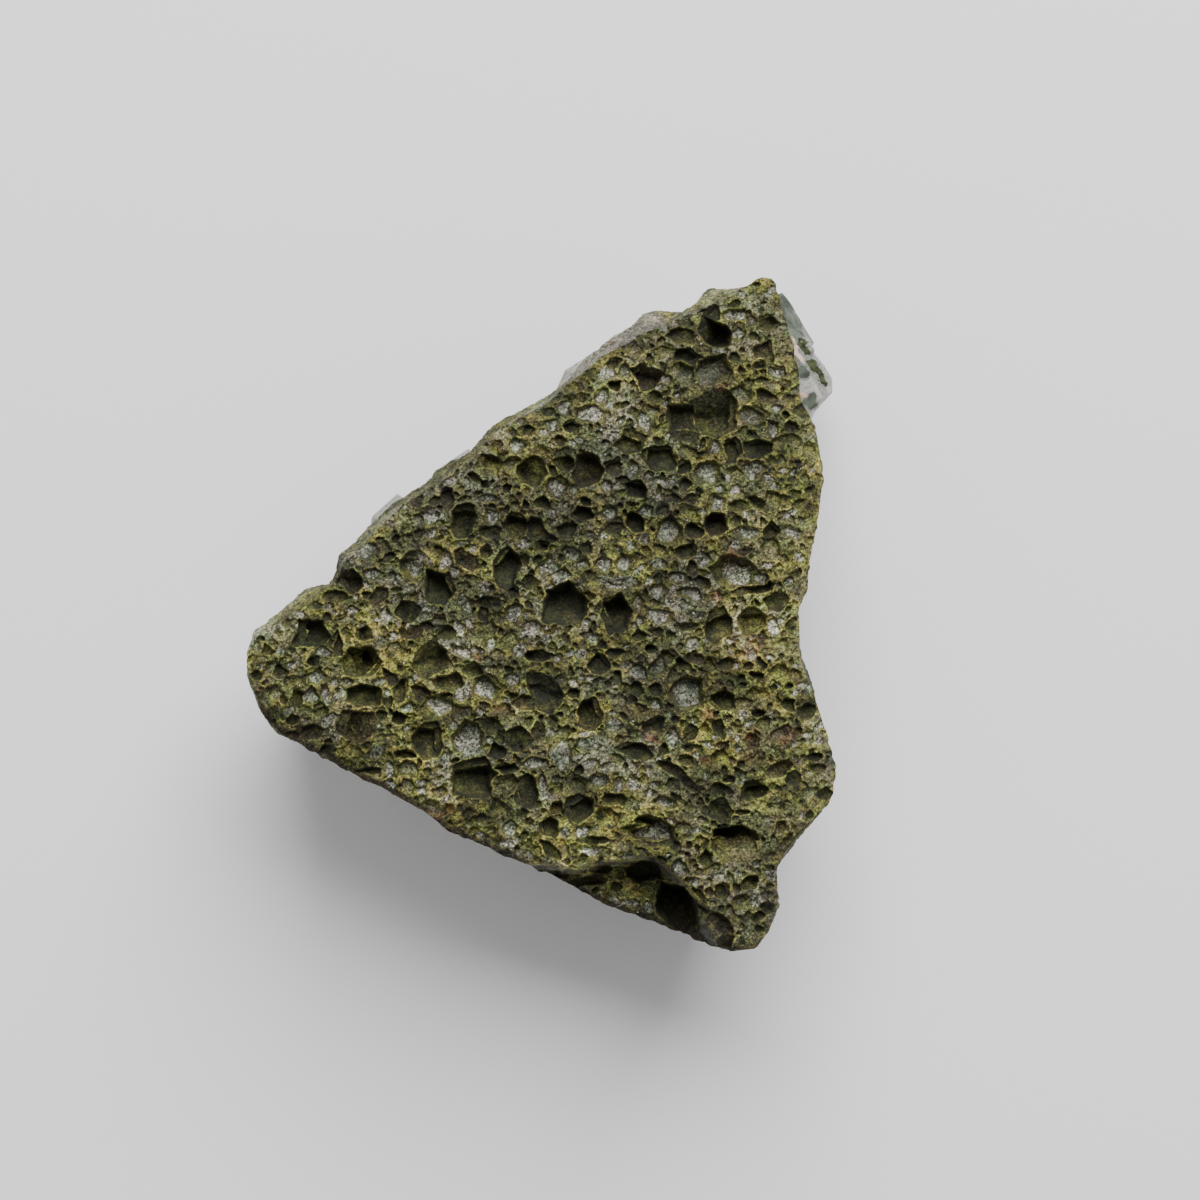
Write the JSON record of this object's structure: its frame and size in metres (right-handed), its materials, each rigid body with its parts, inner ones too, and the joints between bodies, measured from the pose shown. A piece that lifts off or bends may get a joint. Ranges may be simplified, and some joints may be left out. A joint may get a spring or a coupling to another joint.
{
  "type": "epidote with quartz",
  "caption": "Flat, roughly triangular mineral specimen: a green epidote slab with a pitted, ridged upper face, resting on clear quartz crystals that grow from its underside and edges.",
  "frame": {"origin": "middle of the base of the bounding box, at the height that the specimen rests on", "axes": "+Z out of the pitted face, which lies upwards; +X to the right and +Y towards the narrow top corner as one looks at the pitted face"},
  "size_m": [0.0572, 0.065, 0.0256],
  "materials": {
    "epidote": "granular yellow-olive ridges around dark green pits, with grey-green glittering pit floors",
    "quartz": "clear to faintly grey-pink quartz with smooth crystal faces and some green inclusions"
  },
  "bodies": {
    "root": {"epidote_matrix": "epidote", "quartz_crystal_top_right": "quartz", "quartz_crystal_left": "quartz", "quartz_crystal_bottom": "quartz", "quartz_crystal_upper_edge": "quartz", "quartz_crystal_edge_middle": "quartz", "quartz_crystal_edge_left": "quartz", "quartz_cluster_middle": "quartz", "quartz_cluster_upper": "quartz", "quartz_cluster_right": "quartz", "quartz_cluster_upper_left": "quartz", "quartz_cluster_lower_left": "quartz", "quartz_cluster_low_middle": "quartz", "quartz_cluster_lower_right": "quartz"}
  },
  "joints": []
}
